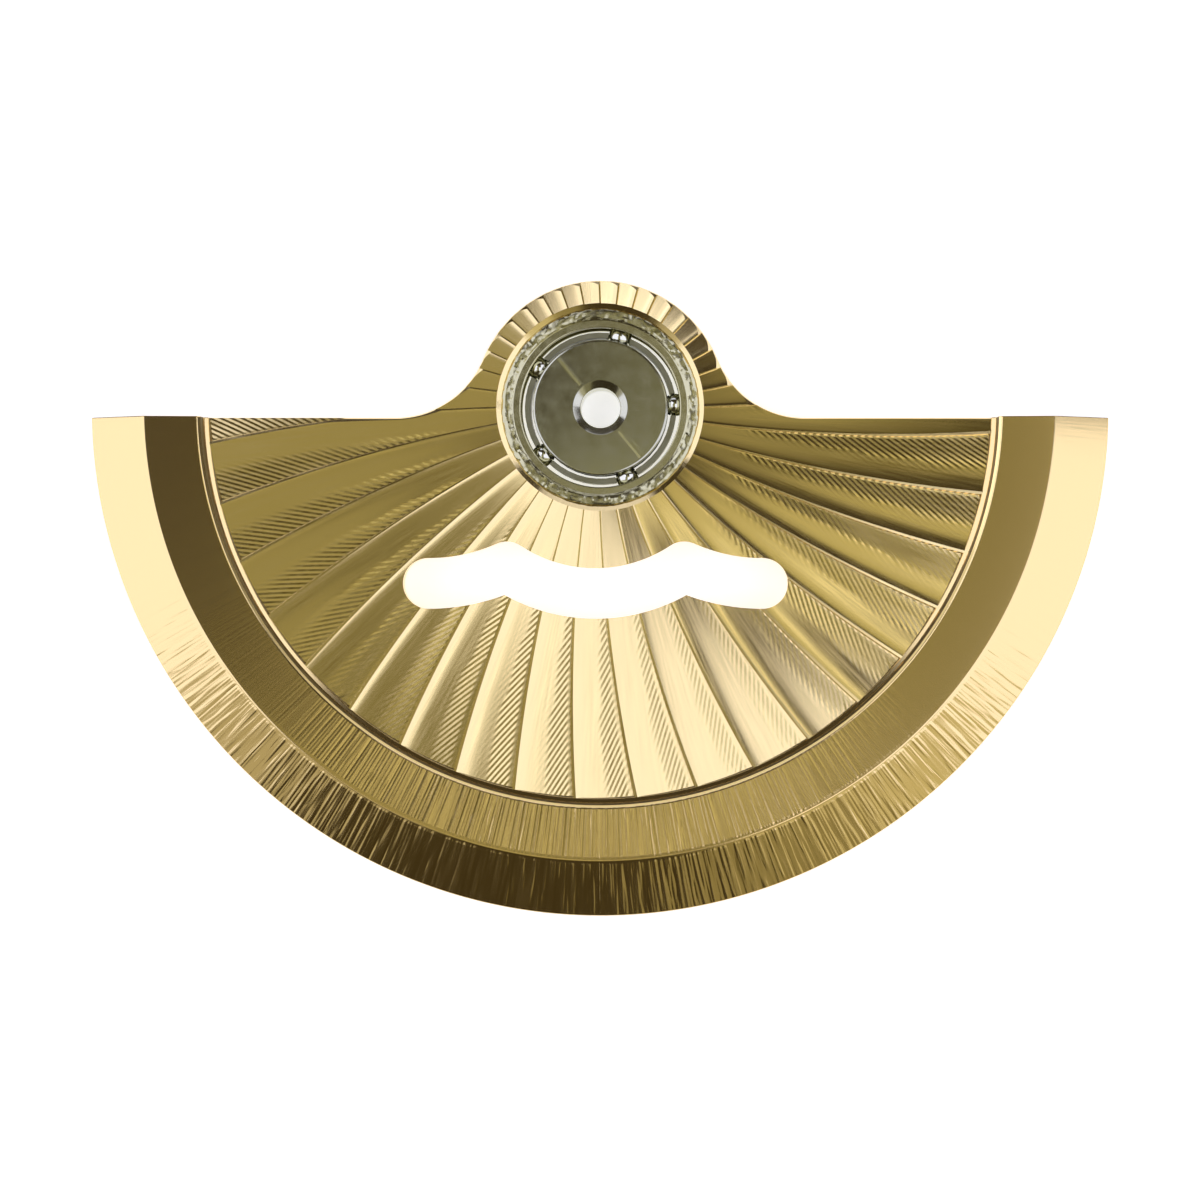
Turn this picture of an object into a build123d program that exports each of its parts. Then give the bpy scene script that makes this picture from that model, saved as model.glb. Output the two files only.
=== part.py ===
from build123d import *
import math
import os

# Winding rotor of an automatic watch movement. Lengths are in millimetres, angles in degrees.
# The origin is on the bearing's axis, in the face that seats on the movement.
# +Z points at the decorated side, +X lies along the straight edge, the weight hangs to -Y.

# Ball bearing, from the balls outward and inward
ball_count = 5
ball_radius = 0.30
ball_circle_radius = 1.93
first_ball_angle = 3.0
race_clearance = 0.02

# Inner race: core below, cone above
inner_race_setback = 0.17  # from the balls' circle in to the race's edge
seat_setback = 0.51  # from the race's edge in to the seating boss
seat_width = 0.30
seat_boss_height = 0.16
stem_wall = 0.43  # of the cone's stem, round the screw hole
screw_countersink = 0.18
cone_face_drop = 0.16  # from the plate's top down to the polished disc
cone_edge_chamfer = 0.03

# Cage
cage_inside_setback = 0.095  # from the balls' circle in to the cage's inner face
cage_wall = 0.14
cage_pocket_clearance = 0.04
cage_rise = 0.18  # top of the cage above the balls' centres
cage_floor = 0.10  # ring left under the pockets

# Outer ring with the drive teeth
ring_bore_offset = 0.14  # from the balls' circle out to the bore
ring_face_width = 0.21
ring_face_drop = 0.14  # from the plate's top down to the ring's flat face
ring_underside_height = 0.12
ball_rise = 0.48  # of the balls' centres above the ring's underside
stake_width = 0.22
stake_drop = 0.08  # from the plate's top down to the staked collar
stake_overhang = 0.04
stake_height = 0.09
ring_spigot_clearance = 0.02
ring_flange_width = 0.50
ring_flange_thickness = 0.26
gear_teeth = 48
gear_thickness = 0.30
gear_setback = 0.10  # from the flange's edge in to the tips of the teeth
tooth_height = 0.22
tooth_root_share = 0.78  # widths of a tooth, of the pitch between teeth
tooth_tip_share = 0.24

# Carrier plate
plate_thickness = 0.50
plate_hole_bevel = 0.17
hub_wall = 0.77  # metal between the plate's hole and the edge of the hub
hub_fillet_radius = 2.46  # hollow curve between the hub and the straight edge
straight_edge_drop = 0.27  # from the axis down to the straight edge
outline_chamfer = 0.13

# Wavy slot in the plate, one cutter wide
slot_shift = 0.12  # the slot's middle lies this far to -X
slot_width = 1.31
slot_middle_distance = 4.83  # from the axis down to the lowest point of the middle arc
slot_joint_spread = 2.30  # from the slot's middle out to where two arcs meet
slot_joint_rise = 0.69  # from the middle arc's lowest point up to that joint
slot_end_spread = 4.33  # from the slot's middle out to the end of a side arc
slot_end_rise = 0.26  # from the middle arc's lowest point up to that end

# Heavy rim
rotor_radius = 13.20  # outer edge of the rim
rim_width = 2.93
rim_bevel_width = 1.50  # how far the bevel comes in from the outer edge
rim_bevel_drop = 0.62
rim_lip_width = 1.18  # part of the rim that lies on the plate
rim_step = 0.50  # height of the rim's top above the plate
rim_height = 1.93
rim_inner_chamfer = 0.09
rim_foot_chamfer = 0.15
seat_clearance = 0.02

# Fan of rays cut round the hub
ray_count = 40
first_ridge_angle = -3.8  # at the rim, from +X
ridge_sweep_per_mm = 0.70  # how fast a ridge turns back on its way in to the hub
ridge_land = 0.03  # uncut width left on each ridge
ray_depth_at_hub = 0.045
ray_depth_at_rim = 0.105
fan_to_rim_gap = 0.03
ray_spans = 2  # straight stretches that make up a curved ridge

# Rivets that hold the rim, set from below
rivet_count = 3
rivet_pitch_angle = 60.0
rivet_radius = 0.24
rivet_head_radius = 0.44
rivet_head_depth = 0.14
rivet_reach = 0.30  # how far a rivet goes up into the rim's lip
rivet_clearance = 0.01

cut_overrun = 0.20  # how far a cutter passes the face it leaves through

# Radii that follow from the widths above
groove_reach = (ball_radius + race_clearance) * math.sqrt(2)  # a V-shaped groove, 45 degrees each side
inner_race_radius = ball_circle_radius - inner_race_setback
seat_radius = inner_race_radius - seat_setback
cone_stem_radius = seat_radius - seat_width
screw_hole_radius = cone_stem_radius - stem_wall
cage_inner_radius = ball_circle_radius - cage_inside_setback
cage_outer_radius = cage_inner_radius + cage_wall
ring_bore_radius = ball_circle_radius + ring_bore_offset
ring_face_radius = ring_bore_radius + ring_face_width
ring_spigot_radius = ring_face_radius + stake_width
plate_hole_radius = ring_spigot_radius + ring_spigot_clearance
hub_radius = plate_hole_radius + hub_wall
ring_flange_radius = plate_hole_radius + ring_flange_width
gear_tip_radius = ring_flange_radius - gear_setback
gear_root_radius = gear_tip_radius - tooth_height
rim_inner_radius = rotor_radius - rim_width
rim_bevel_radius = rotor_radius - rim_bevel_width
rim_seat_radius = rim_inner_radius + rim_lip_width

# Heights above the seating face
ball_height = ring_underside_height + ball_rise
gear_top = ring_underside_height + gear_thickness
plate_bottom = gear_top + ring_flange_thickness
plate_top = plate_bottom + plate_thickness
cone_top_height = plate_top - cone_face_drop
rim_top = plate_top + rim_step
rim_bottom = rim_top - rim_height


def polar(radius, angle, height=0):
    turn = math.radians(angle)
    return Vector(radius * math.cos(turn), radius * math.sin(turn), height)


def round_body(*points):
    """A round body from the (radius, height) corners of its profile."""
    profile = Rot(X=90) * make_face(Polyline(*points, close=True))
    return revolve(profile, Axis.Z)


def cylinder_between(radius, bottom, top):
    return Pos(0, 0, bottom) * extrude(Circle(radius), top - bottom)


# Where the hollow fillet leaves the hub and where it meets the straight edge.
fillet_centre_y = hub_fillet_radius - straight_edge_drop
fillet_centre_x = math.sqrt((hub_radius + hub_fillet_radius) ** 2 - fillet_centre_y**2)
hub_share_of_reach = hub_radius / (hub_radius + hub_fillet_radius)
hub_tangent_x = fillet_centre_x * hub_share_of_reach
hub_tangent_y = fillet_centre_y * hub_share_of_reach


def straight_edge_x(radius):
    """Where a circle round the axis crosses the straight edge."""
    return math.sqrt(radius**2 - straight_edge_drop**2)


def fillet_middle(side):
    """The point of the hollow fillet halfway between its two ends."""
    start = Vector(hub_tangent_x, hub_tangent_y)
    end = Vector(fillet_centre_x, -straight_edge_drop)
    centre = Vector(fillet_centre_x, fillet_centre_y)
    towards = ((start + end) / 2 - centre).normalized()
    middle = centre + towards * hub_fillet_radius
    return Vector(side * middle.X, middle.Y)


def plate_outline():
    plate_radius = rim_seat_radius - seat_clearance
    corner_x = straight_edge_x(plate_radius)
    edge_y = -straight_edge_drop
    edges = [ThreePointArc((corner_x, edge_y), (0, -plate_radius), (-corner_x, edge_y))]
    for side in (-1, 1):
        fillet_foot = Vector(side * fillet_centre_x, edge_y)
        hub_end = Vector(side * hub_tangent_x, hub_tangent_y)
        edges.append(Line((side * corner_x, edge_y), fillet_foot))
        edges.append(ThreePointArc(fillet_foot, fillet_middle(side), hub_end))
    hub_ends = [(side * hub_tangent_x, hub_tangent_y) for side in (-1, 1)]
    edges.append(ThreePointArc(hub_ends[0], (0, hub_radius), hub_ends[1]))
    return make_face(edges)


def wavy_slot():
    """Three arcs end to end, each as wide as the cutter, with its round ends left in."""
    joint_y = slot_joint_rise - slot_middle_distance
    end_y = slot_end_rise - slot_middle_distance
    run = slot_end_spread - slot_joint_spread
    fall = joint_y - end_y
    side_radius = (run**2 + fall**2) / (2 * fall)
    half_turn = math.asin(run / side_radius) / 2
    half_x = slot_end_spread - side_radius * math.sin(half_turn)
    half_y = end_y + side_radius * (1 - math.cos(half_turn))
    middle_arc = ThreePointArc(
        (-slot_joint_spread, joint_y), (0, -slot_middle_distance), (slot_joint_spread, joint_y)
    )
    slot = SlotArc(middle_arc, slot_width)
    for side in (-1, 1):
        side_arc = ThreePointArc(
            (side * slot_joint_spread, joint_y), (side * half_x, half_y), (side * slot_end_spread, end_y)
        )
        slot += SlotArc(side_arc, slot_width)
    cutter = extrude(slot, plate_thickness + 2 * cut_overrun)
    return Pos(-slot_shift, 0, plate_bottom - cut_overrun) * cutter


def ridge_angle(index, radius):
    turned_back = ridge_sweep_per_mm * (rim_inner_radius - radius)
    return first_ridge_angle - index * 360 / ray_count - turned_back


def ray_section(index, radius):
    """A ray's cut at one radius: a step down at its own ridge, then a ramp up to the next one."""
    share_out = (radius - plate_hole_radius) / (rim_inner_radius - plate_hole_radius)
    depth = ray_depth_at_hub + (ray_depth_at_rim - ray_depth_at_hub) * share_out
    land_angle = math.degrees(ridge_land / radius)
    near = ridge_angle(index, radius)
    far = ridge_angle(index + 1, radius) + land_angle
    step_top = polar(radius, near, plate_top + cut_overrun)
    step_foot = polar(radius, near, plate_top - depth)
    ramp_end = polar(radius, far, plate_top)
    ramp_top = polar(radius, far, plate_top + cut_overrun)
    return Wire(Polyline(step_top, step_foot, ramp_end, ramp_top, close=True).edges())


def fan_cutters():
    start = plate_hole_radius - ridge_land
    end = rim_inner_radius + cut_overrun
    radii = [start + (end - start) * step / ray_spans for step in range(ray_spans + 1)]
    rim_edge = rim_inner_radius - fan_to_rim_gap
    fan_area = cylinder_between(rim_edge, plate_bottom, plate_top + 2 * cut_overrun)
    cutters = []
    for index in range(ray_count):
        ray = Solid.make_loft([ray_section(index, radius) for radius in radii], ruled=True)
        cutters.append(ray & fan_area)
    return cutters


def rivet_places():
    circle = (rim_inner_radius + rim_seat_radius) / 2
    first = -90 - rivet_pitch_angle * (rivet_count - 1) / 2
    return [polar(circle, first + rivet_pitch_angle * place) for place in range(rivet_count)]


def rivet_body(clearance):
    """A flat-headed rivet, or with a clearance the space that it sits in."""
    head = cylinder_between(rivet_head_radius + clearance, plate_bottom, plate_bottom + rivet_head_depth)
    shank = cylinder_between(rivet_radius + clearance, plate_bottom, plate_top + rivet_reach + clearance)
    return head + shank


def carrier_plate():
    plate = Pos(0, 0, plate_bottom) * extrude(plate_outline(), plate_thickness)
    top_edges = plate.faces().sort_by(Axis.Z)[-1].edges()
    shown_edges = [edge for edge in top_edges if (edge @ 0.5).length < rim_inner_radius]
    plate = chamfer(shown_edges, outline_chamfer)
    plate -= cylinder_between(plate_hole_radius, plate_bottom - cut_overrun, plate_top + cut_overrun)
    plate -= round_body(
        (plate_hole_radius - cut_overrun, plate_top - plate_hole_bevel - cut_overrun),
        (plate_hole_radius + plate_hole_bevel + cut_overrun, plate_top + cut_overrun),
        (plate_hole_radius - cut_overrun, plate_top + cut_overrun),
    )
    plate -= fan_cutters()
    plate -= wavy_slot()
    plate -= [Pos(place) * rivet_body(rivet_clearance) for place in rivet_places()]
    return plate


def weight_rim():
    edge_height = rim_top - rim_bevel_drop
    ring = round_body(
        (rim_inner_radius, plate_top),
        (rim_inner_radius, rim_top - rim_inner_chamfer),
        (rim_inner_radius + rim_inner_chamfer, rim_top),
        (rim_bevel_radius, rim_top),
        (rotor_radius, edge_height),
        (rotor_radius, rim_bottom + rim_foot_chamfer),
        (rotor_radius - rim_foot_chamfer, rim_bottom),
        (rim_seat_radius + rim_foot_chamfer, rim_bottom),
        (rim_seat_radius, rim_bottom + rim_foot_chamfer),
        (rim_seat_radius, plate_top),
    )
    reach = rotor_radius + cut_overrun
    lower_side = Pos(0, -straight_edge_drop - reach / 2) * Rectangle(2 * reach, reach)
    rim = ring & Pos(0, 0, rim_bottom - cut_overrun) * extrude(lower_side, rim_height + 2 * cut_overrun)
    rim -= [Pos(place) * rivet_body(rivet_clearance) for place in rivet_places()]
    return rim


def weight_rivets():
    return Compound([(Pos(place) * rivet_body(0)).solid() for place in rivet_places()])


def groove_half_height(radius):
    """Half the height of the balls' V-shaped groove where it opens at this radius."""
    return groove_reach - abs(radius - ball_circle_radius)


def bearing_core():
    return round_body(
        (ball_circle_radius - groove_reach, ball_height),
        (cone_stem_radius, ball_height),
        (cone_stem_radius, 0),
        (seat_radius, 0),
        (seat_radius, seat_boss_height),
        (inner_race_radius, seat_boss_height),
        (inner_race_radius, ball_height - groove_half_height(inner_race_radius)),
    )


def bearing_cone():
    return round_body(
        (ball_circle_radius - groove_reach, ball_height),
        (cone_stem_radius, ball_height),
        (cone_stem_radius, 0),
        (screw_hole_radius, 0),
        (screw_hole_radius, cone_top_height - screw_countersink),
        (screw_hole_radius + screw_countersink, cone_top_height),
        (inner_race_radius - cone_edge_chamfer, cone_top_height),
        (inner_race_radius, cone_top_height - cone_edge_chamfer),
        (inner_race_radius, ball_height + groove_half_height(inner_race_radius)),
    )


def bearing_cage():
    pocket_radius = ball_radius + cage_pocket_clearance
    cage_bottom = ball_height - pocket_radius - cage_floor
    cage_top = ball_height + cage_rise
    cage = cylinder_between(cage_outer_radius, cage_bottom, cage_top)
    cage -= cylinder_between(cage_inner_radius, cage_bottom - cut_overrun, cage_top + cut_overrun)
    pocket_bore = extrude(Circle(pocket_radius), cage_outer_radius + cut_overrun)
    pocket = Pos(0, 0, ball_height) * Rot(Y=90) * pocket_bore
    return cage - [Rot(Z=angle) * pocket for angle in ball_angles()]


def ball_angles():
    return [first_ball_angle + 360 * index / ball_count for index in range(ball_count)]


def ball(angle):
    return Pos(polar(ball_circle_radius, angle, ball_height)) * Sphere(ball_radius)


def outer_ring_body():
    stake_radius = ring_spigot_radius + stake_overhang
    stake_top = plate_top - stake_drop
    face_height = plate_top - ring_face_drop
    half_height = groove_half_height(ring_bore_radius)
    return round_body(
        (ball_circle_radius + groove_reach, ball_height),
        (ring_bore_radius, ball_height - half_height),
        (ring_bore_radius, ring_underside_height),
        (gear_root_radius, ring_underside_height),
        (gear_root_radius, gear_top),
        (ring_flange_radius, gear_top),
        (ring_flange_radius, plate_bottom),
        (ring_spigot_radius, plate_bottom),
        (ring_spigot_radius, stake_top - stake_height),
        (stake_radius, stake_top),
        (ring_face_radius, stake_top),
        (ring_face_radius, face_height),
        (ring_bore_radius, face_height),
        (ring_bore_radius, ball_height + half_height),
    )


def drive_teeth():
    """A ring of teeth, rooted inside the ring's metal so that the two are one piece."""
    pitch = 360 / gear_teeth
    root_half = pitch * tooth_root_share / 2
    tip_half = pitch * tooth_tip_share / 2
    rooted_radius = (ring_spigot_radius + gear_root_radius) / 2
    corners = []
    for tooth in range(gear_teeth):
        centre = tooth * pitch
        corners.append(polar(gear_root_radius, centre - root_half))
        corners.append(polar(gear_tip_radius, centre - tip_half))
        corners.append(polar(gear_tip_radius, centre + tip_half))
        corners.append(polar(gear_root_radius, centre + root_half))
    teeth = make_face(Polyline(*corners, close=True)) - Circle(rooted_radius)
    return Pos(0, 0, ring_underside_height) * extrude(teeth, gear_thickness)


def bearing_outer_ring():
    return outer_ring_body() + drive_teeth()


os.makedirs("parts", exist_ok=True)
pieces = {
    "carrier_plate": carrier_plate(),
    "weight_rim": weight_rim(),
    "weight_rivets": weight_rivets(),
    "bearing_outer_ring": bearing_outer_ring(),
    "bearing_core": bearing_core(),
    "bearing_cone": bearing_cone(),
    "bearing_cage": bearing_cage(),
}
for number, angle in enumerate(ball_angles(), start=1):
    pieces[f"ball_{number}"] = ball(angle)
for name, piece in pieces.items():
    export_step(piece, f"parts/{name}.step")
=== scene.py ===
import math

import bmesh
import bpy
from mathutils import Matrix, Vector, noise


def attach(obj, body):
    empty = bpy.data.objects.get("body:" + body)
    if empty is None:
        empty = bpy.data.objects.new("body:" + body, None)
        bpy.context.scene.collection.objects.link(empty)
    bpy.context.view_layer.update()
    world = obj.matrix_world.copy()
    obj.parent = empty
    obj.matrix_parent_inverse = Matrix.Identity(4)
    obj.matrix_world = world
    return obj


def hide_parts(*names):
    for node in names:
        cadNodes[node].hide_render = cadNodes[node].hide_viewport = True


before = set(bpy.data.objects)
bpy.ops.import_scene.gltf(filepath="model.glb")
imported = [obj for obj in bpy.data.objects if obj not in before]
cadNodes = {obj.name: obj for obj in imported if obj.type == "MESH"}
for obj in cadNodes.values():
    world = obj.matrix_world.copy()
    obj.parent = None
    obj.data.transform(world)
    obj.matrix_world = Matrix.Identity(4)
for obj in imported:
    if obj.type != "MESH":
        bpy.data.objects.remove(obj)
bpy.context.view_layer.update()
mm = 0.001  # pieces are built in millimetres and brought to metres when they are finished

# Heights and radii that the pieces share, in millimetres
common = {
    "plateBottom": 0.68,
    "plateTop": 1.18,
    "holeRadius": 2.52,
    "rimInner": 10.27,
    "edgeDrop": 0.27,
}


def polar(radius, angle, height=0.0):
    turn = math.radians(angle)
    return Vector((radius * math.cos(turn), radius * math.sin(turn), height))


def smoothStep(low, high, value):
    share = min(1.0, max(0.0, (value - low) / (high - low)))
    return share * share * (3 - 2 * share)


def pick(items, kind):
    return [item for item in items if isinstance(item, kind)]


def asObject(name, bm):
    bmesh.ops.recalc_face_normals(bm, faces=bm.faces)
    mesh = bpy.data.meshes.new(name)
    bm.to_mesh(mesh)
    bm.free()
    obj = bpy.data.objects.new(name, mesh)
    bpy.context.scene.collection.objects.link(obj)
    return obj


def combine(target, other, operation):
    modifier = target.modifiers.new("combine", "BOOLEAN")
    modifier.operation = operation
    modifier.solver = "EXACT"
    modifier.object = other
    graph = bpy.context.evaluated_depsgraph_get()
    made = bpy.data.meshes.new_from_object(target.evaluated_get(graph))
    target.modifiers.clear()
    old = target.data
    target.data = made
    bpy.data.meshes.remove(old)
    bpy.data.objects.remove(other)


def finishPiece(obj, body, material, nodeNames, sharpAngle):
    obj.data.transform(Matrix.Scale(mm, 4))
    obj.data.shade_smooth()
    obj.data.set_sharp_from_angle(angle=math.radians(sharpAngle))
    obj.data.materials.clear()
    obj.data.materials.append(material)
    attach(obj, body)
    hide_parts(*nodeNames)
    print("piece", obj.name, len(obj.data.polygons), "faces")


def drawProfile(bm, profile, closed=True):
    verts = [bm.verts.new((radius, 0, height)) for radius, height in profile]
    edges = [bm.edges.new((verts[i - 1], verts[i])) for i in range(0 if closed else 1, len(verts))]
    return verts + edges


def turnAbout(bm, profile, turn, steps, merged):
    bmesh.ops.spin(
        bm, geom=profile, cent=(0, 0, 0), axis=(0, 0, 1), angle=math.radians(turn), steps=steps,
        use_merge=merged,
    )


def turnedBody(profile, steps):
    bm = bmesh.new()
    turnAbout(bm, drawProfile(bm, profile), 360, steps, merged=True)
    return bm


def raiseFaces(bm, faces, height):
    raised = bmesh.ops.extrude_face_region(bm, geom=faces, use_keep_orig=True)
    topVerts = pick(raised["geom"], bmesh.types.BMVert)
    bmesh.ops.translate(bm, vec=(0, 0, height), verts=topVerts)
    return topVerts


def cylinder(name, centre, radius, height, segments):
    bm = bmesh.new()
    bmesh.ops.create_cone(
        bm, cap_ends=True, segments=segments, radius1=radius, radius2=radius, depth=height,
        matrix=Matrix.Translation(centre),
    )
    return asObject(name, bm)


# Nodes for the metals

noiseSpan = (0.3, 0.7)  # most values of a noise lie between these


def metalStart(name, settings):
    material = bpy.data.materials.new(name)
    material.use_nodes = True
    tree = material.node_tree
    shader = tree.nodes["Principled BSDF"]
    shader.inputs["Metallic"].default_value = 1.0
    shader.inputs["Base Color"].default_value = (*settings["color"], 1)
    shader.inputs["Roughness"].default_value = settings["roughness"]
    shader.inputs["Anisotropic"].default_value = settings.get("anisotropy", 0.0)
    return material, tree, shader


def fillSocket(tree, socket, value):
    if isinstance(value, (int, float, tuple)):
        socket.default_value = value
    else:
        tree.links.new(value, socket)


def mathNode(tree, operation, *values):
    node = tree.nodes.new("ShaderNodeMath")
    node.operation = operation
    for socket, value in zip(node.inputs, values):
        fillSocket(tree, socket, value)
    return node.outputs[0]


def vectorNode(tree, operation, *values):
    node = tree.nodes.new("ShaderNodeVectorMath")
    node.operation = operation
    for socket, value in zip(node.inputs, values):
        fillSocket(tree, socket, value)
    return node.outputs["Value"] if operation == "LENGTH" else node.outputs["Vector"]


def joinVector(tree, x, y):
    node = tree.nodes.new("ShaderNodeCombineXYZ")
    for socket, value in zip(node.inputs, (x, y)):
        fillSocket(tree, socket, value)
    return node.outputs[0]


def noiseNode(tree, vector, scale, detail, roughness):
    node = tree.nodes.new("ShaderNodeTexNoise")
    tree.links.new(vector, node.inputs["Vector"])
    node.inputs["Scale"].default_value = scale
    node.inputs["Detail"].default_value = detail
    node.inputs["Roughness"].default_value = roughness
    return node.outputs["Fac"]


def rangeNode(tree, value, low, high, outLow, outHigh):
    node = tree.nodes.new("ShaderNodeMapRange")
    tree.links.new(value, node.inputs["Value"])
    for name, number in zip(("From Min", "From Max", "To Min", "To Max"), (low, high, outLow, outHigh)):
        node.inputs[name].default_value = number
    return node.outputs["Result"]


def bumpNode(tree, shader, height, depth):
    node = tree.nodes.new("ShaderNodeBump")
    node.inputs["Strength"].default_value = 1.0
    node.inputs["Distance"].default_value = depth
    tree.links.new(height, node.inputs["Height"])
    tree.links.new(node.outputs["Normal"], shader.inputs["Normal"])


def objectPlace(tree):
    return tree.nodes.new("ShaderNodeTexCoord").outputs["Object"]


def roundCoordinates(tree):
    place = objectPlace(tree)
    axes = tree.nodes.new("ShaderNodeSeparateXYZ")
    tree.links.new(place, axes.inputs[0])
    flat = vectorNode(tree, "MULTIPLY", place, (1 / mm, 1 / mm, 0.0))
    radius = vectorNode(tree, "LENGTH", flat)
    angle = mathNode(tree, "ARCTAN2", axes.outputs["X"], axes.outputs["Y"])
    return place, radius, angle


def circlingTangent(tree, shader, place, turn):
    turned = tree.nodes.new("ShaderNodeVectorRotate")
    turned.rotation_type = "Z_AXIS"
    turned.inputs["Angle"].default_value = math.radians(90 + turn)
    tree.links.new(vectorNode(tree, "MULTIPLY", place, (1.0, 1.0, 0.0)), turned.inputs["Vector"])
    world = tree.nodes.new("ShaderNodeVectorTransform")
    world.vector_type = "VECTOR"
    world.convert_from = "OBJECT"
    world.convert_to = "WORLD"
    tree.links.new(turned.outputs[0], world.inputs[0])
    tree.links.new(vectorNode(tree, "NORMALIZE", world.outputs[0]), shader.inputs["Tangent"])


def strokeNoise(tree, angle, radius, stroke):
    around = mathNode(tree, "MULTIPLY", angle, stroke["perRadian"])
    outward = mathNode(tree, "MULTIPLY", radius, stroke["perMm"])
    return noiseNode(tree, joinVector(tree, around, outward), 1.0, stroke.get("detail", 0.0), 0.5)


# Radial brushing. Four numbers in a row say where a value starts and ends, and what it becomes there.
goldRim = {
    "color": (0.93, 0.71, 0.31),
    "roughness": 0.125,
    "roughnessSpread": 0.05,
    "anisotropy": 0.2,
    "lineDepth": 0.000008,
    "lines": {"perRadian": 165.0, "perMm": 0.35},
    "broadLines": {"perRadian": 74.25, "perMm": 0.5, "strength": 0.35},
    "scratches": {"perRadian": 214.5, "perMm": 1.3, "levels": (0.66, 0.80, 0.0, -0.15)},
    "tears": {"perRadian": 82.5, "perMm": 0.9, "levels": (0.35, 0.62, 0.45, 1.0)},
    "band": {"radii": (11.60, 11.67, 0.65, 0.0), "turns": (2.3, 2.7, 0.06, 1.0)},
    "bevel": {"radii": (11.73, 11.80, 0.0, 1.9), "turns": (1.8, 2.5, 0.04, 1.0)},
    "innerEdge": (10.34, 10.38, 0.0, 1.0),
    "upright": (0.4, 0.6, 0.0, 1.0),
}


def brushPressure(tree, radius, turned, face):
    return mathNode(
        tree, "MULTIPLY", rangeNode(tree, radius, *face["radii"]), rangeNode(tree, turned, *face["turns"])
    )


def brushedGold():
    material, tree, shader = metalStart("goldRimBrushed", goldRim)
    place, radius, angle = roundCoordinates(tree)
    circlingTangent(tree, shader, place, 0)
    lines = strokeNoise(tree, angle, radius, goldRim["lines"])
    broad = strokeNoise(tree, angle, radius, goldRim["broadLines"])
    lines = mathNode(tree, "ADD", lines, mathNode(tree, "MULTIPLY", broad, goldRim["broadLines"]["strength"]))
    scratches = strokeNoise(tree, angle, radius, goldRim["scratches"])
    scratches = rangeNode(tree, scratches, *goldRim["scratches"]["levels"])
    tears = strokeNoise(tree, angle, radius, goldRim["tears"])
    tears = rangeNode(tree, tears, *goldRim["tears"]["levels"])
    turned = mathNode(tree, "ABSOLUTE", angle)  # the brush bit most at the bottom, half a turn from +Y
    onBand = brushPressure(tree, radius, turned, goldRim["band"])
    onBevel = mathNode(tree, "MULTIPLY", brushPressure(tree, radius, turned, goldRim["bevel"]), tears)
    inside = rangeNode(tree, radius, *goldRim["innerEdge"])
    pressed = mathNode(tree, "MULTIPLY", mathNode(tree, "ADD", onBand, onBevel), inside)
    normal = tree.nodes.new("ShaderNodeSeparateXYZ")
    tree.links.new(tree.nodes.new("ShaderNodeTexCoord").outputs["Normal"], normal.inputs[0])
    brushed = mathNode(tree, "MULTIPLY", pressed, rangeNode(tree, normal.outputs["Z"], *goldRim["upright"]))
    relief = mathNode(tree, "MULTIPLY", brushed, mathNode(tree, "ADD", lines, scratches))
    bumpNode(tree, shader, relief, goldRim["lineDepth"])
    worn = rangeNode(tree, lines, *noiseSpan, -goldRim["roughnessSpread"], goldRim["roughnessSpread"])
    worn = mathNode(tree, "ADD", mathNode(tree, "MULTIPLY", worn, pressed), goldRim["roughness"])
    tree.links.new(worn, shader.inputs["Roughness"])
    return material


goldFan = {
    "color": (0.93, 0.74, 0.34),
    "roughness": 0.14,
    "roughnessSpread": 0.03,
    "anisotropy": 0.3,
    "grain": {"perRadian": 120.0, "perMm": 0.6, "detail": 1.0},
    "grainTurn": -35,
    "grainDepth": 0.00000015,
}


def cutGold():
    material, tree, shader = metalStart("goldFanCut", goldFan)
    place, radius, angle = roundCoordinates(tree)
    circlingTangent(tree, shader, place, goldFan["grainTurn"])
    grain = strokeNoise(tree, angle, radius, goldFan["grain"])
    bumpNode(tree, shader, grain, goldFan["grainDepth"])
    low = goldFan["roughness"] - goldFan["roughnessSpread"]
    high = goldFan["roughness"] + goldFan["roughnessSpread"]
    tree.links.new(rangeNode(tree, grain, *noiseSpan, low, high), shader.inputs["Roughness"])
    return material


# The other metals, with a fine grain that is the same all ways; its scale and depth are for metres
plainMetals = {
    # the rim's inner wall: its dark colour is painted shade, its higher roughness a matt finish
    "goldWallPaintedShade": {"color": (0.20, 0.16, 0.08), "roughness": 0.5, "scale": 6000.0, "depth": 0.000002},
    "ringSteel": {"color": (0.60, 0.57, 0.34), "roughness": 0.22, "scale": 5000.0, "depth": 0.0000006},
    "discSteel": {"color": (0.58, 0.575, 0.43), "roughness": 0.17, "scale": 3000.0, "depth": 0.0000001},
    "coreSteel": {"color": (0.5, 0.5, 0.46), "roughness": 0.3, "scale": 3000.0, "depth": 0.0000005},
    "cageOlive": {"color": (0.33, 0.32, 0.21), "roughness": 0.35, "scale": 3000.0, "depth": 0.000001},
    "rivetSteel": {"color": (0.6, 0.6, 0.58), "roughness": 0.3, "scale": 3000.0, "depth": 0.000001},
    "ballSteel": {"color": (0.75, 0.75, 0.60), "roughness": 0.08, "scale": 3000.0, "depth": 0.0000002},
}
plainGrain = {
    "detail": 4.0,
    "roughness": 0.6,
    "wear": 0.2,
}


def plainMetal(name):
    settings = plainMetals[name]
    material, tree, shader = metalStart(name, settings)
    place = objectPlace(tree)
    grain = noiseNode(tree, place, settings["scale"], plainGrain["detail"], plainGrain["roughness"])
    bumpNode(tree, shader, grain, settings["depth"])
    low = settings["roughness"] * (1 - plainGrain["wear"])
    high = settings["roughness"] * (1 + plainGrain["wear"])
    tree.links.new(rangeNode(tree, grain, *noiseSpan, low, high), shader.inputs["Roughness"])
    return material


# Carrier plate: outline, slot, hole and rivet pockets from plain tools, then the cut rays

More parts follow.
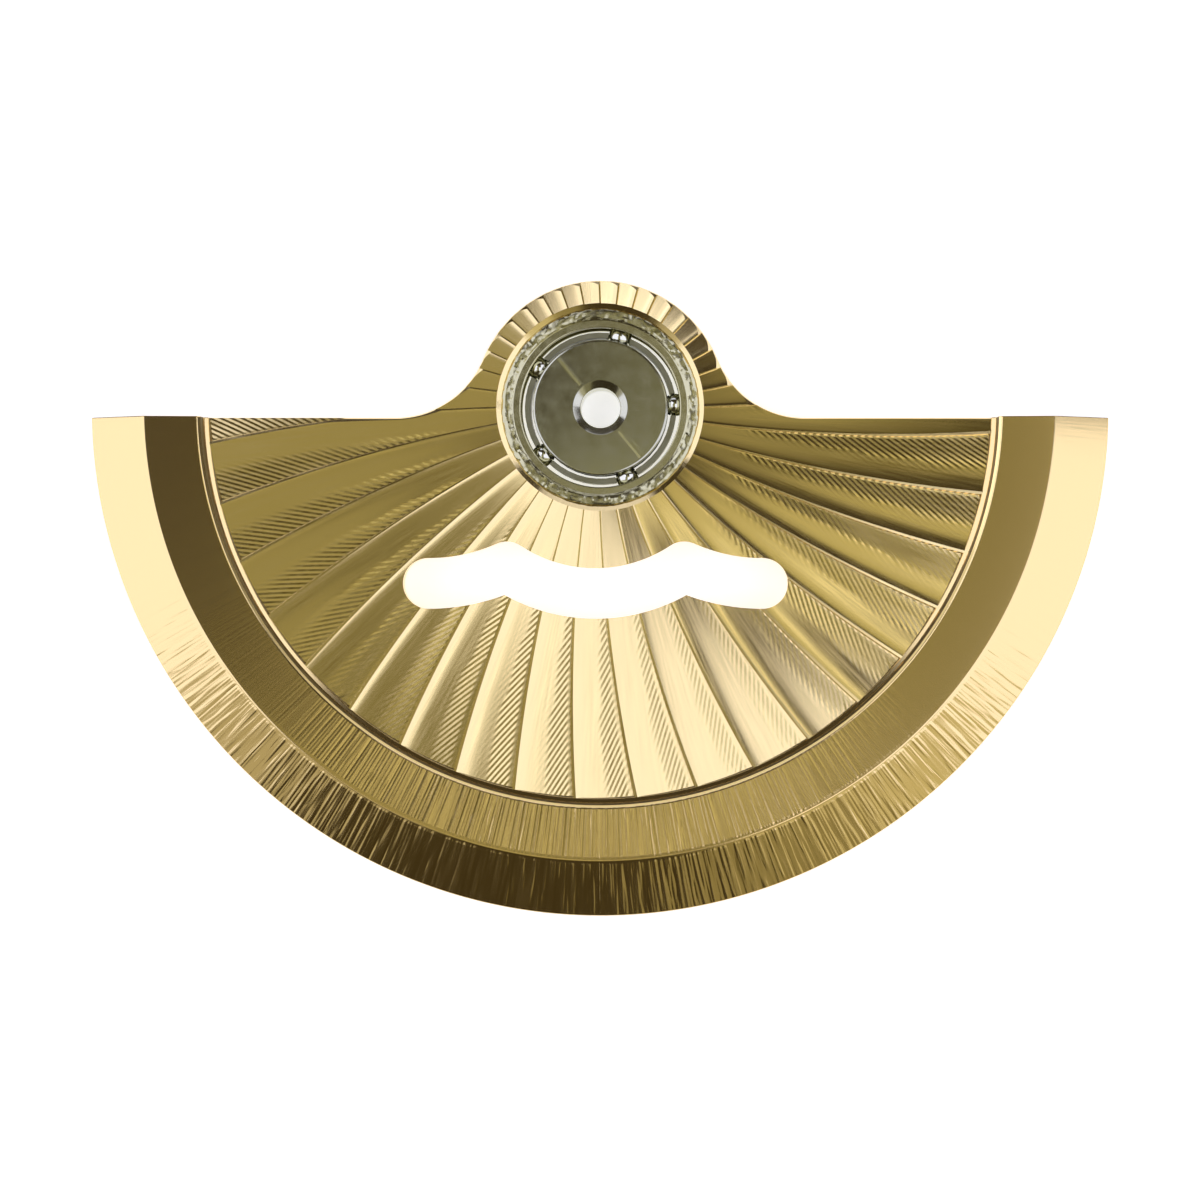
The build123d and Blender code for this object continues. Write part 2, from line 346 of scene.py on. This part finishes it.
plate = {
    "radius": 11.43,
    "hubRadius": 3.29,
    "filletRadius": 2.46,
    "edgeChamfer": 0.13,
    "arcSteps": 220,
    "filletSteps": 24,
    "hubSteps": 64,
    "holeBevel": 0.17,
    "holeLedge": 0.075,
    "holeSteps": 192,
    "cutterInside": 0.5,
    "overrun": 0.2,
    "sharpAngle": 3,
}


def sweepArc(bm, vert, centre, angle, steps):
    swept = bmesh.ops.spin(
        bm, geom=[vert], cent=(*centre, vert.co.z), axis=(0, 0, 1), angle=math.radians(angle), steps=steps
    )
    return pick(swept["geom_last"], bmesh.types.BMVert)[0]


def plateOutline(bm):
    edgeY = -common["edgeDrop"]
    bottom = common["plateBottom"]
    reach = plate["hubRadius"] + plate["filletRadius"]
    filletY = plate["filletRadius"] - common["edgeDrop"]
    filletX = math.sqrt(reach**2 - filletY**2)
    filletTurn = math.degrees(math.acos(filletY / reach))
    cornerAngle = math.degrees(math.asin(common["edgeDrop"] / plate["radius"]))
    rimX = math.sqrt(common["rimInner"] ** 2 - common["edgeDrop"] ** 2)
    corner = bm.verts.new((*polar(plate["radius"], -cornerAngle).xy, bottom))
    farCorner = sweepArc(bm, corner, (0, 0), -(180 - 2 * cornerAngle), plate["arcSteps"])
    leftStep = bm.verts.new((-rimX, edgeY, bottom))
    bm.edges.new((farCorner, leftStep))
    leftFoot = bm.verts.new((-filletX, edgeY, bottom))
    bm.edges.new((leftStep, leftFoot))
    leftHub = sweepArc(bm, leftFoot, (-filletX, filletY), filletTurn, plate["filletSteps"])
    rightHub = sweepArc(bm, leftHub, (0, 0), -2 * filletTurn, plate["hubSteps"])
    rightFoot = sweepArc(bm, rightHub, (filletX, filletY), filletTurn, plate["filletSteps"])
    rightStep = bm.verts.new((rimX, edgeY, bottom))
    bm.edges.new((rightFoot, rightStep))
    bm.edges.new((rightStep, corner))
    return bmesh.ops.contextual_create(bm, geom=bm.edges[:])["faces"]


def plateBlank():
    bm = bmesh.new()
    outline = plateOutline(bm)
    top = set(raiseFaces(bm, outline, common["plateTop"] - common["plateBottom"]))
    shown = [
        edge for edge in bm.edges
        if all(vert in top for vert in edge.verts)
        and ((edge.verts[0].co + edge.verts[1].co) / 2).xy.length < common["rimInner"]
    ]
    bmesh.ops.bevel(
        bm, geom=shown, offset=plate["edgeChamfer"], segments=2, profile=0.5, affect="EDGES", material=-1
    )
    return asObject("carrierPlate", bm)


slot = {
    "shift": -0.12,
    "width": 1.31,
    "arcs": [
        {"centre": (0.0, -0.652), "radius": 4.178, "start": -123.4, "sweep": 66.8},
        {"centre": (4.33, 0.437), "radius": 5.007, "start": -113.9, "sweep": 23.9},
        {"centre": (-4.33, 0.437), "radius": 5.007, "start": -90.0, "sweep": 23.9},
    ],
    "arcSteps": 40,
    "endSegments": 144,
}


def slotBar(arc):
    low = common["plateBottom"] - plate["overrun"]
    high = common["plateTop"] + plate["overrun"]
    bm = bmesh.new()
    corners = []
    for offset, height in ((-0.5, low), (0.5, low), (0.5, high), (-0.5, high)):
        corners.append(bm.verts.new(polar(arc["radius"] + offset * slot["width"], arc["start"], height)))
    face = bm.faces.new(corners)
    turnAbout(bm, [face, *face.edges, *face.verts], arc["sweep"], slot["arcSteps"], merged=False)
    bmesh.ops.translate(bm, vec=(arc["centre"][0] + slot["shift"], arc["centre"][1], 0), verts=bm.verts)
    return asObject("slotBar", bm)


def slotEnd(arc, angle):
    middle = (common["plateTop"] + common["plateBottom"]) / 2
    depth = common["plateTop"] - common["plateBottom"] + 2 * plate["overrun"]
    spot = polar(arc["radius"], angle)
    centre = (arc["centre"][0] + slot["shift"] + spot.x, arc["centre"][1] + spot.y, middle)
    return cylinder("slotEnd", centre, slot["width"] / 2, depth, slot["endSegments"])


# Each ray drops sharply from a crest and climbs to the next; shares count across it from the drop
fan = {
    "rays": 40,
    "firstRidge": -3.8,
    "sweepPerMm": 0.70,
    "depthAtHub": 0.065,
    "depthAtRim": 0.155,
    "crestLift": 0.003,
    "crestShare": 0.968,
    "straightClimb": 0.80,
    "squareClimb": 0.04,
    "steepClimb": 0.16,
    "steepPower": 8,
    "across": [
        0.0, 0.018, 0.05, 0.12, 0.20, 0.30, 0.40, 0.50, 0.60, 0.70, 0.78, 0.85, 0.90, 0.94, 0.968,
    ],
    "innerRadius": 2.35,
    "middleRadius": 6.0,
    "outerRadius": 10.30,
    "blockRadius": 12.5,
    "mergeDistance": 0.0005,
}

# Fine slanted lines on the low side of each ray; a pair says where a change starts and ends
hatch = {
    "angle": 35.0,
    "curve": 0.25,
    "pitch": 0.11,
    "depth": 0.0054,
    "full": 0.30,
    "gone": 0.66,
    "leastSpread": 0.55,
    "addedSpread": 0.5,
    "spreadRadii": (4.0, 9.5),
    "startRadii": (2.6, 5.8),
    "startShares": (0.018, 0.06),
    "softness": 0.5,
    "softFrom": (40, 65),
    "softUntil": (112, 135),
}


def hatchDepth(radius, angle, share):
    spread = hatch["leastSpread"] + hatch["addedSpread"] * smoothStep(*hatch["spreadRadii"], radius)
    fade = 1 - smoothStep(hatch["full"] * spread, hatch["gone"] * spread, share)
    bottom = smoothStep(*hatch["softFrom"], -angle) - smoothStep(*hatch["softUntil"], -angle)
    fade *= (
        (1 - hatch["softness"] * bottom)
        * smoothStep(*hatch["startRadii"], radius) * smoothStep(*hatch["startShares"], share)
    )
    return hatch["depth"] * fade


def fanSurface():
    pitch = 360 / fan["rays"]
    columns = fan["across"]
    alongStep = hatch["pitch"] / math.sin(math.radians(hatch["angle"])) / 2
    slope = math.radians(pitch) / math.tan(math.radians(hatch["angle"]))
    firstRow = fan["innerRadius"] / math.exp(slope * (1 + hatch["curve"]))
    rows = math.ceil((fan["outerRadius"] - firstRow) / alongStep) + 2
    lines = len(columns) * fan["rays"]
    bm = bmesh.new()
    bmesh.ops.create_grid(bm, x_segments=rows, y_segments=lines, size=0.5)
    for vert in bm.verts:
        row = round((vert.co.x + 0.5) * rows)
        line = round((vert.co.y + 0.5) * lines)
        ray, column = divmod(line, len(columns))
        share = columns[column]
        radius = (firstRow + row * alongStep) * math.exp(slope * share * (1 + hatch["curve"] * share))
        held = min(max(radius, fan["innerRadius"]), fan["outerRadius"])
        out = (held - common["holeRadius"]) / (common["rimInner"] - common["holeRadius"])
        depth = fan["depthAtHub"] + (fan["depthAtRim"] - fan["depthAtHub"]) * out
        angle = fan["firstRidge"] - (ray + share) * pitch - fan["sweepPerMm"] * (common["rimInner"] - held)
        height = common["plateTop"] + fan["crestLift"]
        if column:
            climb = share / fan["crestShare"]
            steep = fan["steepClimb"] * climb ** fan["steepPower"]
            height -= depth * (1 - fan["straightClimb"] * climb - fan["squareClimb"] * climb**2 - steep)
            if row % 2 and held == radius:
                height -= hatchDepth(radius, angle, share)
        vert.co = polar(held, angle, height)
    bmesh.ops.remove_doubles(bm, verts=bm.verts, dist=fan["mergeDistance"])
    return bm


def pullEdges(bm, edges):
    made = bmesh.ops.extrude_edge_only(bm, edges=edges)["geom"]
    return pick(made, bmesh.types.BMEdge), pick(made, bmesh.types.BMVert)


def fanBlock():
    bm = fanSurface()
    border = [edge for edge in bm.edges if edge.is_boundary]
    outer = [edge for edge in border if edge.verts[0].co.xy.length > fan["middleRadius"]]
    inner = [edge for edge in border if edge.verts[0].co.xy.length < fan["middleRadius"]]
    low = common["plateBottom"] - plate["overrun"]
    high = common["plateTop"] + plate["overrun"]
    for radius, height in (
        (fan["outerRadius"], high), (fan["blockRadius"], high), (fan["blockRadius"], low),
    ):
        outer, verts = pullEdges(bm, outer)
        for vert in verts:
            flat = vert.co.xy.normalized() * radius
            vert.co = (flat.x, flat.y, height)
    inner, verts = pullEdges(bm, inner)
    for vert in verts:
        vert.co.z = low
    bmesh.ops.bridge_loops(bm, edges=inner + outer)
    return asObject("fanBlock", bm)


def holeCutter():
    top = common["plateTop"]
    bottom = common["plateBottom"]
    radius = common["holeRadius"]
    bevelled = radius + plate["holeBevel"]
    profile = [
        (plate["cutterInside"], bottom - plate["overrun"]),
        (radius, bottom - plate["overrun"]),
        (radius, top - plate["holeBevel"]),
        (bevelled, top - plate["holeLedge"]),
        (bevelled, top + plate["overrun"]),
        (plate["cutterInside"], top + plate["overrun"]),
    ]
    return asObject("holeCutter", turnedBody(profile, plate["holeSteps"]))


rivets = {
    "count": 3,
    "firstAngle": -150.0,
    "pitchAngle": 60.0,
    "circle": 10.86,
    "headRadius": 0.45,
    "headDepth": 0.14,
    "segments": 64,
}


def rivetPocket(angle):
    centre = polar(rivets["circle"], angle, common["plateBottom"])
    return cylinder("rivetPocket", centre, rivets["headRadius"], 2 * rivets["headDepth"], rivets["segments"])


def carrierPlate():
    piece = plateBlank()
    combine(piece, holeCutter(), "DIFFERENCE")
    for arc in slot["arcs"]:
        combine(piece, slotBar(arc), "DIFFERENCE")
        for angle in (arc["start"], arc["start"] + arc["sweep"]):
            combine(piece, slotEnd(arc, angle), "DIFFERENCE")
    for place in range(rivets["count"]):
        combine(piece, rivetPocket(rivets["firstAngle"] + place * rivets["pitchAngle"]), "DIFFERENCE")
    print("plate blank ready")
    combine(piece, fanBlock(), "INTERSECT")
    finishPiece(piece, "rotor", cutGold(), ["carrier_plate"], plate["sharpAngle"])


# Heavy rim: half a turn of its profile, cut along the straight edge; its inner wall and foot get a dark,
# rougher gold whose colour is painted shade
rim = {
    "profile": [
        (10.27, 1.18), (10.26, 1.04), (10.13, 1.04), (10.13, 1.165), (10.15, 1.18), (10.25, 1.23),
        (10.27, 1.50), (10.35, 1.585), (11.70, 1.68), (13.195, 1.06), (13.195, -0.10),
        (13.05, -0.25), (11.60, -0.25), (11.45, -0.10), (11.45, 1.18),
    ],
    "steps": 256,
    "edgeBreak": 0.02,
    "brokenFrom": 12,
    "sharpAngle": 4,
    "paintedShadeWall": (10.252, 10.28),
    "paintedShadeFoot": 10.135,
}


def weightRim():
    bm = bmesh.new()
    turnAbout(bm, drawProfile(bm, rim["profile"]), -180, rim["steps"], merged=False)
    bmesh.ops.bisect_plane(
        bm, geom=bm.verts[:] + bm.edges[:] + bm.faces[:], plane_co=(0, -common["edgeDrop"], 0),
        plane_no=(0, 1, 0), clear_outer=True,
    )
    openEdges = [edge for edge in bm.edges if edge.is_boundary]
    bmesh.ops.holes_fill(bm, edges=openEdges, sides=0)
    bmesh.ops.recalc_face_normals(bm, faces=bm.faces)
    least = math.radians(rim["brokenFrom"])
    sharpEdges = [edge for edge in bm.edges if edge.is_manifold and edge.calc_face_angle() > least]
    bmesh.ops.bevel(
        bm, geom=sharpEdges, offset=rim["edgeBreak"], segments=2, profile=0.5, affect="EDGES", material=-1
    )
    piece = asObject("weightRim", bm)
    finishPiece(piece, "rotor", brushedGold(), ["weight_rim"], rim["sharpAngle"])
    piece.data.materials.append(plainMetal("goldWallPaintedShade"))
    # faces of the inner wall and of the foot take the dark gold that paints the shade along the wall
    low, high = rim["paintedShadeWall"]
    for polygon in piece.data.polygons:
        away = polygon.center.xy.length / mm
        polygon.material_index = 1 if low < away < high or away < rim["paintedShadeFoot"] else 0


# Bearing: the ring staked into the plate, with its drive teeth, and the cone that holds the balls from above

race = {
    "ballCircle": 1.93,
    "height": 0.60,
    "grooveRadius": 0.32,
    "grooveSteps": 10,
    "turnSteps": 288,
}


def groovePoints(start, end):
    steps = race["grooveSteps"]
    points = []
    for i in range(steps + 1):
        turn = math.radians(start + (end - start) * i / steps)
        points.append((
            race["ballCircle"] + race["grooveRadius"] * math.cos(turn),
            race["height"] + race["grooveRadius"] * math.sin(turn),
        ))
    return points


outerRing = {
    "groove": (64, -64),
    "below": [
        (2.07, 0.14), (2.09, 0.12), (2.70, 0.12), (2.70, 0.42), (3.00, 0.42), (3.02, 0.44), (3.02, 0.68),
        (2.50, 0.68), (2.50, 1.00),
    ],
    "lip": [
        (2.535, 1.015), (2.552, 1.04), (2.548, 1.062), (2.520, 1.080), (2.475, 1.092), (2.430, 1.095),
        (2.385, 1.093), (2.345, 1.088), (2.310, 1.078), (2.290, 1.062),
    ],
    "above": [(2.275, 1.045), (2.255, 1.035), (2.10, 1.035), (2.085, 1.03), (2.07, 1.015)],
    "sharpAngle": 14,
}

# Hammer marks of the staking: two noises on the lip, scaled round the ring and across it
stakeMarks = {
    "innerRadius": 2.28,
    "slack": 0.001,
    "height": 0.016,
    "settled": 0.004,
    "around": 16.0,
    "across": 18.0,
    "coarse": 0.8,
    "fineAround": 2.5,
    "fineAcross": 0.7,
    "fineShare": 0.8,
}


def markLip(bm):
    low = min(height for radius, height in outerRing["lip"]) - stakeMarks["slack"]
    for vert in bm.verts:
        radius = vert.co.xy.length
        if vert.co.z > low and radius > stakeMarks["innerRadius"]:
            turn = math.atan2(vert.co.y, vert.co.x)
            across = radius * stakeMarks["across"]
            east = math.cos(turn) * stakeMarks["around"]
            north = math.sin(turn) * stakeMarks["around"]
            spot = Vector((east, north, across))
            coarse = noise.noise(spot * stakeMarks["coarse"])
            fine = noise.noise(Vector((
                spot.x * stakeMarks["fineAround"], spot.y * stakeMarks["fineAround"],
                across * stakeMarks["fineAcross"],
            )))
            rise = stakeMarks["height"] * (coarse + stakeMarks["fineShare"] * fine)
            vert.co.z += rise - stakeMarks["settled"]


driveTeeth = {
    "count": 48,
    "rootRadius": 2.70,
    "tipRadius": 2.92,
    "innerRadius": 2.60,
    "rootShare": 0.78,
    "tipShare": 0.24,
    "bottom": 0.12,
    "height": 0.30,
}


def toothedDisc():
    pitch = 360 / driveTeeth["count"]
    halfRoot = driveTeeth["rootShare"] / 2
    halfTip = driveTeeth["tipShare"] / 2
    corners = [
        (driveTeeth["rootRadius"], -halfRoot), (driveTeeth["tipRadius"], -halfTip),
        (driveTeeth["tipRadius"], halfTip), (driveTeeth["rootRadius"], halfRoot),
    ]
    segments = len(corners) * driveTeeth["count"]
    bm = bmesh.new()
    outside = bmesh.ops.create_circle(
        bm, cap_ends=False, segments=segments, radius=driveTeeth["rootRadius"]
    )["verts"]
    for i, vert in enumerate(sorted(outside, key=lambda vert: math.atan2(vert.co.y, vert.co.x))):
        tooth, corner = divmod(i, len(corners))
        radius, offset = corners[corner]
        vert.co = polar(radius, (tooth + offset) * pitch, driveTeeth["bottom"])
    inside = bmesh.ops.create_circle(
        bm, cap_ends=False, segments=segments, radius=driveTeeth["innerRadius"]
    )["verts"]
    bmesh.ops.translate(bm, vec=(0, 0, driveTeeth["bottom"]), verts=inside)
    faces = bmesh.ops.bridge_loops(bm, edges=bm.edges[:])["faces"]
    raiseFaces(bm, faces, driveTeeth["height"])
    return asObject("toothedDisc", bm)


def bearingOuterRing():
    profile = groovePoints(*outerRing["groove"]) + outerRing["below"] + outerRing["lip"] + outerRing["above"]
    bm = turnedBody(profile, race["turnSteps"])
    markLip(bm)
    piece = asObject("bearingOuterRing", bm)
    combine(piece, toothedDisc(), "UNION")
    finishPiece(
        piece, "rotor", plainMetal("ringSteel"), ["bearing_outer_ring"], outerRing["sharpAngle"]
    )


cone = {
    "groove": (122.1, 180),
    "faceHeight": 1.02,
    "profile": [
        (0.95, 0.60), (0.95, 0.02), (0.93, 0.0), (0.54, 0.0), (0.52, 0.02), (0.52, 0.865), (0.53, 0.88),
        (0.695, 1.012), (0.708, 1.02), (1.70, 1.02), (1.732, 1.014), (1.752, 0.998), (1.76, 0.97),
    ],
    "scribeAngle": 129.5,
    "scribeReach": (0.78, 1.66),
    "scribeSide": 0.09,
    "scribeFlatness": 0.12,
    "sharpAngle": 8,
}


def scribeCutter(angle):
    low, high = cone["scribeReach"]
    bm = bmesh.new()
    bmesh.ops.create_cube(
        bm, size=1.0,
        matrix=Matrix.Translation(polar((low + high) / 2, angle, cone["faceHeight"]))
        @ Matrix.Rotation(math.radians(angle), 4, "Z")
        @ Matrix.Diagonal((high - low, 1.0, cone["scribeFlatness"], 1.0))
        @ Matrix.Rotation(math.radians(45), 4, "X")
        @ Matrix.Diagonal((1.0, cone["scribeSide"], cone["scribeSide"], 1.0)),
    )
    return asObject("scribe", bm)


def bearingCone():
    profile = cone["profile"] + groovePoints(*cone["groove"])
    piece = asObject("bearingCone", turnedBody(profile, race["turnSteps"]))
    for turn in (0, 180):
        combine(piece, scribeCutter(cone["scribeAngle"] + turn), "DIFFERENCE")
    finishPiece(
        piece, "inner_race", plainMetal("discSteel"), ["bearing_cone"], cone["sharpAngle"]
    )


def dressNode(nodeName, material):
    cadNodes[nodeName].data.materials.clear()
    cadNodes[nodeName].data.materials.append(material)


carrierPlate()
weightRim()
bearingOuterRing()
bearingCone()
dressNode("bearing_core", plainMetal("coreSteel"))
dressNode("bearing_cage", plainMetal("cageOlive"))
dressNode("weight_rivets", plainMetal("rivetSteel"))
ballSteel = plainMetal("ballSteel")
for number in range(1, 6):
    dressNode(f"ball_{number}", ballSteel)
print("pieces dressed")


# Stage, lamps and camera, in millimetres

stage = {
    "height": -0.25,
    "profile": [(0.0, 0.0), (330.0, 0.0), (360.0, 3.0), (385.0, 12.0), (400.0, 45.0)],
    "steps": 96,
    "mergeDistance": 0.001,
    "albedo": 0.85,
    "roughness": 0.9,
    "whiteShare": 0.6,
}


def floorMaterial():
    material = bpy.data.materials.new("paleFloor")
    material.use_nodes = True
    tree = material.node_tree
    shader = tree.nodes["Principled BSDF"]
    shader.inputs["Base Color"].default_value = (stage["albedo"], stage["albedo"], stage["albedo"], 1)
    shader.inputs["Roughness"].default_value = stage["roughness"]
    shader.inputs["Specular IOR Level"].default_value = 0.0
    path = tree.nodes.new("ShaderNodeLightPath")
    seen = mathNode(tree, "MAXIMUM", path.outputs["Is Camera Ray"], path.outputs["Is Glossy Ray"])
    seen = mathNode(tree, "MAXIMUM", seen, path.outputs["Is Transmission Ray"])
    shader.inputs["Emission Color"].default_value = (1, 1, 1, 1)
    tree.links.new(mathNode(tree, "MULTIPLY", seen, stage["whiteShare"]), shader.inputs["Emission Strength"])
    clear = tree.nodes.new("ShaderNodeBsdfTransparent")  # from below the floor lets the camera through
    side = tree.nodes.new("ShaderNodeNewGeometry")
    mix = tree.nodes.new("ShaderNodeMixShader")
    tree.links.new(side.outputs["Backfacing"], mix.inputs[0])
    tree.links.new(shader.outputs[0], mix.inputs[1])
    tree.links.new(clear.outputs[0], mix.inputs[2])
    tree.links.new(mix.outputs[0], tree.nodes["Material Output"].inputs["Surface"])
    return material


def makeFloor():
    bm = bmesh.new()
    profile = [(radius, height + stage["height"]) for radius, height in stage["profile"]]
    turnAbout(bm, drawProfile(bm, profile, closed=False), 360, stage["steps"], merged=True)
    bmesh.ops.remove_doubles(bm, verts=bm.verts, dist=stage["mergeDistance"])
    floor = asObject("paleFloor", bm)
    floor.data.transform(Matrix.Scale(mm, 4))
    if floor.data.polygons[0].normal.z < 0:
        floor.data.flip_normals()
    floor.data.shade_smooth()
    floor.data.materials.append(floorMaterial())


facing = {
    "left": (0.745, 0, -0.667),
    "right": (-0.658, 0, -0.752),
    "back": (0, -0.88, -0.47),
    "top": (0, 0, -1),
}
tints = {
    "cool": (1.0, 1.02, 1.35),
    "cream": (1.0, 0.95, 0.8),
    "paleGold": (1.0, 0.96, 0.8),
    "straw": (1.0, 0.95, 0.7),
    "honey": (1.0, 0.93, 0.55),
    "amber": (1.0, 0.93, 0.5),
    "gold": (1.0, 0.94, 0.5),
    "sand": (1.0, 0.97, 0.66),
}

# Name, side it faces from, tint, level, size and place
lampRows = [
    ("leftPanel", "left", "cool", 1.15, (270, 357), (-210, 15, 157)),
    ("leftPanelLow", "left", "cream", 0.42, (78, 357), (-210, -159, 157)),
    ("rightPanel", "right", "cool", 1.15, (154, 407), (181, -63, 164)),
    ("rightPanelLow", "right", "straw", 0.55, (84, 370), (194, -182, 153)),
    ("rightPanelFoot", "right", "honey", 0.22, (176, 370), (194, -312, 153)),
    ("rightPanelTop", "right", "amber", 0.48, (24, 103), (66, 57, 264)),
    ("rightPanelStrip", "right", "paleGold", 1.15, (11, 103), (66, 39, 264)),
    ("rightPanelHigh", "right", "cool", 1.15, (140, 200), (181, 90, 164)),
    ("hubPanel", "top", "cool", 1.15, (43, 100), (-82, 90, 300)),
    ("backPanel", "back", "cool", 0.8, (360, 110), (0, 330, 170)),
    ("topFill", "top", "gold", 0.175, (56, 310), (17, 5, 310)),
    ("bandFill", "top", "sand", 0.6, (23, 27), (-13.5, 2, 309)),
    ("lowFill", "top", "gold", 0.27, (73, 113), (-53, -54, 310)),
    ("hubFill", "top", "amber", 0.15, (56, 46), (4, 82, 309)),
    ("hatchFill", "top", "gold", 0.48, (86, 58), (-39, -107, 310)),
]


def makeLamps():
    for name, side, tint, level, size, place in lampRows:
        data = bpy.data.lights.new(name, "AREA")
        data.shape = "RECTANGLE"
        data.size = size[0] * mm
        data.size_y = size[1] * mm
        data.energy = level * math.pi * data.size * data.size_y
        data.color = tints[tint]
        obj = bpy.data.objects.new(name, data)
        obj.location = Vector(place) * mm
        obj.rotation_euler = Vector(facing[side]).to_track_quat("-Z", "Y").to_euler()
        obj.visible_camera = False
        bpy.context.scene.collection.objects.link(obj)


room = {
    "glow": (1.0, 0.78, 0.42, 1),
    "glowStrength": 0.05,
    "pale": (0.86, 0.86, 0.86, 1),
}


def makeWorld():
    world = bpy.data.worlds.new("room")
    world.use_nodes = True
    bpy.context.scene.world = world
    tree = world.node_tree
    glow = tree.nodes["Background"]
    glow.inputs["Color"].default_value = room["glow"]
    glow.inputs["Strength"].default_value = room["glowStrength"]
    pale = tree.nodes.new("ShaderNodeBackground")  # seen only past the floor's edge and from below
    pale.inputs["Color"].default_value = room["pale"]
    mix = tree.nodes.new("ShaderNodeMixShader")
    tree.links.new(tree.nodes.new("ShaderNodeLightPath").outputs["Is Camera Ray"], mix.inputs[0])
    tree.links.new(glow.outputs[0], mix.inputs[1])
    tree.links.new(pale.outputs[0], mix.inputs[2])
    tree.links.new(mix.outputs[0], tree.nodes["World Output"].inputs["Surface"])


# The camera looks straight down, and its shift keeps the bearing's axis midway across the picture
camera = {
    "x": 2.0,
    "y": -5.0,
    "planeHeight": 1.18,
    "distance": 55.0,
    "frameWidth": 31.06,
    "sensor": 36.0,
    "clipStart": 1.0,
    "clipEnd": 10000.0,
}


def makeCamera():
    data = bpy.data.cameras.new("camera")
    data.sensor_width = camera["sensor"]
    data.lens = camera["sensor"] * camera["distance"] / camera["frameWidth"]
    data.shift_x = -camera["x"] / camera["frameWidth"]
    data.clip_start = camera["clipStart"] * mm
    data.clip_end = camera["clipEnd"] * mm
    obj = bpy.data.objects.new("camera", data)
    obj.location = (camera["x"] * mm, camera["y"] * mm, (camera["planeHeight"] + camera["distance"]) * mm)
    bpy.context.scene.collection.objects.link(obj)
    bpy.context.scene.camera = obj


makeFloor()
makeLamps()
makeWorld()
makeCamera()
bpy.context.scene.view_settings.view_transform = "Standard"
print("stage ready")
